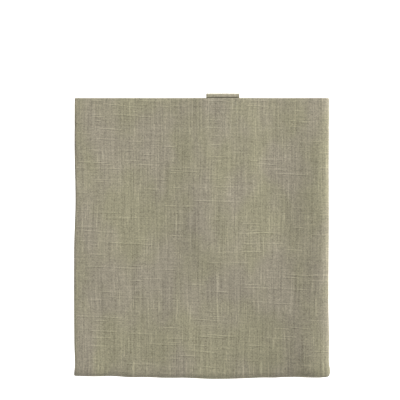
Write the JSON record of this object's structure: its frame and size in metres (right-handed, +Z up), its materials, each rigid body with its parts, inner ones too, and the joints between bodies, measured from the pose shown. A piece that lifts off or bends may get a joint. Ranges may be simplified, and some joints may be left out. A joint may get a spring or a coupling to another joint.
{
  "type": "folded cloth tote bag",
  "caption": "Plain woven cloth tote bag with sewn handles, folded in half both ways and lying flat for storage or display.",
  "frame": {"origin": "on the surface the pack lies on, under the middle of its box", "axes": "+Z up through the folded layers, +Y towards the open end with the hem, +X towards the side crease"},
  "size_m": [0.1914, 0.2134, 0.0204],
  "materials": {
    "cloth": "matt plain weave with thick and thin yarns, unbleached and slightly grey-green",
    "strap": "matt plain weave, of the same cloth folded to a flat strap"
  },
  "bodies": {
    "root": {"body": "cloth", "handle_front": "strap", "handle_back": "strap"}
  },
  "joints": []
}
